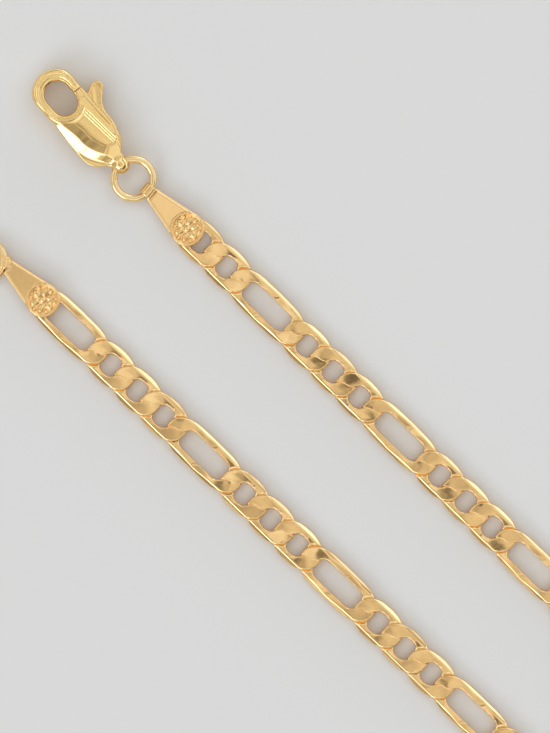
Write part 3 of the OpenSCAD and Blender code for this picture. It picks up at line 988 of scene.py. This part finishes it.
def body_form(x, y, z):
    """The wax of the whole body, about its eye."""
    up = np.abs(z) - CLASP_T / 2
    hub = np.hypot(x - HINGE[0], y - HINGE[1])
    ring = from_line(x, y, MOUTH_X, MOUTH_FOOT, MOUTH_X, MOUTH_HEAD)
    form = cheeks(x, y, z)
    # Steps run round the opening, below the cheeks' flat top
    for width, fall in MOUTH_STEPS:
        form = carve(form, slope(MOUTH_R + width - ring, up, degrees=fall), fillet=0.05)
    form = carve(form, LINE_R - np.hypot(cheek_lines(x, y), up - LINE_LIFT), fillet=0.05)
    form = melt(form, hook_band(ring, y, z), fillet=0.14)
    form = melt(form, eye_ball(x, y, z), fillet=0.26)
    # What is cut away: the opening, the lever's pocket beside the cheeks and above the hub
    form = carve(form, MOUTH_R - ring, fillet=0.10)
    cheek_edge = CHEEK_EDGE + EDGE_LEAN * (LINE_HEAD_Y - y) - x
    pocket = carve(cheek_edge, POCKET_FOOT[1] - POCKET_SLANT * (x - POCKET_FOOT[0]) - y, fillet=0.15)
    form = carve(form, -carve(pocket, y - MOUTH_FOOT, fillet=0.05), fillet=0.12)
    # The slot between the cheeks, the way of the lever's nose, and the ring's way
    slot = np.minimum(from_outline(x, y, slot_outline), hub - HUB_R - LEVER_CLEAR)
    form = carve(form, -carve(slot, np.abs(z) - SLOT_T / 2, fillet=0.04), fillet=0.04)
    nose = carve(hub - NOSE_R - HOOK_GAP, MOUTH_X - x, fillet=0.03)
    nose = carve(nose, carve(cheek_edge, NOSE_FOOT_Y - y, fillet=0.03), fillet=0.03)
    form = carve(form, -nose, fillet=0.035)
    return carve(form, -ring_way(x, -y, z), fillet=0.06)


print("reach of the lever's nose in mm:", round(NOSE_R, 2))

# %% Cast the body
BODY_GRID = ((-3.1, -1.3, -1.5), (2.9, 12.3, 1.5))
BODY_STEP = 0.05
clasp_body = cast("cast_clasp", body_form, *BODY_GRID, BODY_STEP)
settle(clasp_body, clasp_eye, CLASP_ANGLE)
clasp_body.data.materials.append(cast_gold)
dress(clasp_body, "necklace", "clasp_body")

# %% [markdown]
# ## The lever
#
# The spring lever closes the hook. It is cast too, thinner than the room
# between the cheeks, and its thumb tab stands out at the side, dished so
# that a nail finds it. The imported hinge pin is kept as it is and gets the
# castings' gold, because it is riveted in and polished with them.

# %% The lever's form
LEVER_BACK = BODY_W * 0.465
TAB = (3.20, 7.42)
lever_edge = [(HINGE[0] + HUB_R, HINGE[1]), (LEVER_BACK - 0.12, 3.3), (LEVER_BACK - 0.01, 4.0),
              (LEVER_BACK, 4.8), (LEVER_BACK + 0.03, 5.2), (LEVER_BACK + 0.18, 5.66), (2.86, 6.18),
              (TAB[0] + TAB_R * 0.80, TAB[1] - TAB_R * 0.60), (TAB[0] - TAB_R * 0.5, TAB[1] + TAB_R * 0.86),
              (2.02, 7.56), (2.00, 7.8), (2.00, 9), (MOUTH_X + MOUTH_R, 9), (MOUTH_X + MOUTH_R, MOUTH_FOOT),
              (0.34, 6.7), (0.3, 3), (HINGE[0] - HUB_R, HINGE[1])]
NOSE_GROWTH = 0.02
LEVER_GROOVES = ((1.84, 7.5, 1.96, 3.6), (1.45, 7.5, 1.62, 3.8))
LEVER_GROOVE_R = 0.09
LEVER_GROOVE_LIFT = 0.055
DISH_LINE = (3.24, 7.36, 2.30, 5.90)
DISH_R = 1.42
DISH_LIFT = 1.32
PIN_CLEAR = 0.03


def lever_form(x, y, z):
    """The wax of the lever, about the clasp's eye."""
    hub = np.hypot(x - HINGE[0], y - HINGE[1])
    plan = melt(from_outline(x, y, lever_edge), hub - HUB_R, fillet=0.05)
    plan = melt(plan, np.hypot(x - TAB[0], y - TAB[1]) - TAB_R, fillet=0.12)
    up = np.abs(z) - LEVER_T / 2
    form = carve(plan, up, fillet=0.30)
    form = carve(form, hub - NOSE_R - NOSE_GROWTH, fillet=0.035)
    form = carve(form, MOUTH_R - np.hypot(x - MOUTH_X, y - MOUTH_FOOT), fillet=0.06)
    for line in LEVER_GROOVES:
        groove = np.hypot(from_line(x, y, *line), up - LEVER_GROOVE_LIFT)
        form = carve(form, LEVER_GROOVE_R - groove, fillet=0.04)
    # The tab is dished along its length
    dish = np.hypot(from_line(x, y, *DISH_LINE), up - DISH_LIFT) - DISH_R
    form = carve(form, -dish, fillet=0.10)
    return carve(form, -(hub - PIN_D / 2 - PIN_CLEAR), fillet=0.03)


print("gap between the hook and the lever's nose in mm:", round(HOOK_GAP - NOSE_GROWTH, 3))

# %% Cast the lever and finish the pin
LEVER_GRID = ((-0.2, 1.5, -0.8), (4.1, 9.1, 0.8))
lever = cast("spring_lever", lever_form, *LEVER_GRID, FITTING_STEP)
settle(lever, clasp_eye, CLASP_ANGLE)
lever.data.materials.append(cast_gold)
dress(lever, "lever", "clasp_lever")
pin = bpy.data.objects["clasp_pin"]
pin.data.materials.clear()
pin.data.materials.append(cast_gold)
print("pin finish:", pin.data.materials[0].name)

# %% [markdown]
# ## The table and the camera
#
# The necklace lies on a pale matt table and is seen from straight above, at
# the photograph's size and turn. The camera is half a metre up, so that it
# sees all the flats at nearly one angle. The table's top is a hair below
# the solids' lowest plane, since rocked links dip a little.

# %% Table
TABLE_REACH = 3000.0
TABLE_BOTTOM = -2.0
TABLE_TOP = -0.07
corners = [(-TABLE_REACH, -TABLE_REACH), (TABLE_REACH, -TABLE_REACH),
           (TABLE_REACH, TABLE_REACH), (-TABLE_REACH, TABLE_REACH)]
table = prism("table", corners, TABLE_BOTTOM, TABLE_TOP)
table.data.transform(Matrix.Scale(MM, 4))
paper = bpy.data.materials.new("matt pale paper")
paper.use_nodes = True
paper.node_tree.nodes["Principled BSDF"].inputs["Base Color"].default_value = linear("#EAE3D6")
paper.node_tree.nodes["Principled BSDF"].inputs["Roughness"].default_value = 0.9
table.data.materials.append(paper)
print("table width in mm:", 2 * TABLE_REACH)

# %% Camera
AIM = Vector((3.81, 74.63, 0.5))
CAMERA_UP = Vector((0.7171, 0.6970, 0))
CAMERA_HEIGHT = 500.0
FRAME_L = 73.3
SENSOR = 36.0
camera = bpy.data.objects.new("camera", bpy.data.cameras.new("camera"))
scene.collection.objects.link(camera)
camera.data.sensor_width = SENSOR
camera.data.lens = SENSOR * CAMERA_HEIGHT / FRAME_L
camera.data.clip_start = 0.01
camera.data.clip_end = 20
upright = Vector((0, 0, 1))
right = CAMERA_UP.cross(upright)
turned = Matrix((right, CAMERA_UP, upright)).transposed().to_4x4()
camera.matrix_world = Matrix.Translation((AIM + CAMERA_HEIGHT * upright) * MM) @ turned
scene.camera = camera
print("lens in mm:", round(camera.data.lens, 1))

# %% [markdown]
# ## The light
#
# Gold shows nothing but what it mirrors, so the light is a room drawn in the
# sky: soft and cloudy overhead, brighter in a belt half way down, with a few
# broad panels at the sides and some small marks straight above. The marks
# fall on one flat and miss the next, which gives the flats their lighter and
# darker patches. The belt and the panels light the bevels.

# %% The cloudy room, its belts and its low glow
CLOUD_SCALE = 14.0
CLOUD_FROM, CLOUD_TO = 0.35, 0.65
CLOUD_DARK, CLOUD_LIGHT = 0.46, 0.98
# From which height of the sky, to which, and what is added above it
BELTS = ((0.10, 0.20, -0.16), (0.60, 0.68, 0.70), (0.80, 0.88, -0.52))
# Below a leaning plane, near the horizon, the room glows
GLOW_LEAN = (-0.15, -0.04, 1.0)
GLOW_FROM, GLOW_TO = 0.20, 0.04
GLOW = 1.0
SOFTLY = {"interpolation_type": "SMOOTHSTEP"}

world = bpy.data.worlds.new("studio")
scene.world = world
world.use_nodes = True
sky = world.node_tree
towards = add(sky, "ShaderNodeTexCoord").outputs["Generated"]
clouds = add(sky, "ShaderNodeTexNoise", Vector=towards, Scale=CLOUD_SCALE, Detail=1.0).outputs["Fac"]
level = add(sky, "ShaderNodeMapRange", Value=clouds, From_Min=CLOUD_FROM, From_Max=CLOUD_TO,
            To_Min=CLOUD_DARK, To_Max=CLOUD_LIGHT).outputs["Result"]
height = add(sky, "ShaderNodeSeparateXYZ", Vector=towards).outputs["Z"]
for low, high, bright in BELTS:
    belt = add(sky, "ShaderNodeMapRange", SOFTLY, Value=height, From_Min=low, From_Max=high,
               To_Min=0.0, To_Max=bright).outputs["Result"]
    level = add(sky, "ShaderNodeMath", {"operation": "ADD"}, i0=level, i1=belt).outputs[0]
leaning = add(sky, "ShaderNodeVectorMath", {"operation": "DOT_PRODUCT"}, i0=towards,
              i1=GLOW_LEAN).outputs["Value"]
glow = add(sky, "ShaderNodeMapRange", SOFTLY, Value=leaning, From_Min=GLOW_FROM, From_Max=GLOW_TO,
           To_Min=0.0, To_Max=GLOW).outputs["Result"]
level = add(sky, "ShaderNodeMath", {"operation": "ADD"}, i0=level, i1=glow).outputs[0]
print("belts in the sky:", len(BELTS))

# %% Panels, flags and small marks
# Direction, half size and soft edge in degrees, and what it adds to the light
PANELS = [
    # Panels on the clasp's side of the necklace
    ((1.0, 0.55, 0.22), 20, 12, 0.10),
    ((1.0, 0.35, 0.22), 7, 8, 0.80),
    ((1.0, -0.25, 0.24), 20, 12, 0.10),
    # Bright panels on the other side, for the clasp's side facet
    ((-0.86, 0.11, 0.50), 9, 2, 2.4),
    ((-0.86, -0.09, 0.50), 9, 2, 1.6),
    ((-0.81, -0.29, 0.50), 9, 2, 2.4),
    # Small marks straight above, for single flats
    ((0.055, 0.01, 1.0), 1.4, 0.25, -0.48),
    ((-0.06, 0.03, 1.0), 1.6, 0.6, 0.22),
    ((-0.025, -0.03, 1.0), 1.1, 0.25, -0.44),
    # Dark flags: one for the clasp's low band, two for the ends of the room
    ((-0.38, 0.04, 0.92), 11, 5, -0.25),
    ((0.55, 0.75, 0.55), 18, 8, -0.30),
    ((0.1, -0.9, 0.5), 22, 8, -0.35),
]
# The brightest light is cooler than the rest
COOL = (0.86, 1.0, 1.25, 1)
COOL_FROM, COOL_TO = 0.85, 1.25
for aim, half, soft, bright in PANELS:
    aside = add(sky, "ShaderNodeVectorMath", {"operation": "DOT_PRODUCT"}, i0=towards,
                i1=Vector(aim).normalized()).outputs["Value"]
    lit = add(sky, "ShaderNodeMapRange", SOFTLY, Value=aside, From_Min=math.cos(math.radians(half + soft)),
              From_Max=math.cos(math.radians(half)), To_Min=0.0, To_Max=bright).outputs["Result"]
    level = add(sky, "ShaderNodeMath", {"operation": "ADD"}, i0=level, i1=lit).outputs[0]
sky.links.new(level, sky.nodes["Background"].inputs["Strength"])
brightest = add(sky, "ShaderNodeMapRange", Value=level, From_Min=COOL_FROM, From_Max=COOL_TO,
                To_Min=0.0, To_Max=1.0).outputs["Result"]
tint = add(sky, "ShaderNodeMix", {"data_type": "RGBA"}, i0=brightest, i6=(1, 1, 1, 1), i7=COOL).outputs[2]
sky.links.new(tint, sky.nodes["Background"].inputs["Color"])
scene.view_settings.view_transform = "Standard"
print("panels, flags and marks:", len(PANELS))
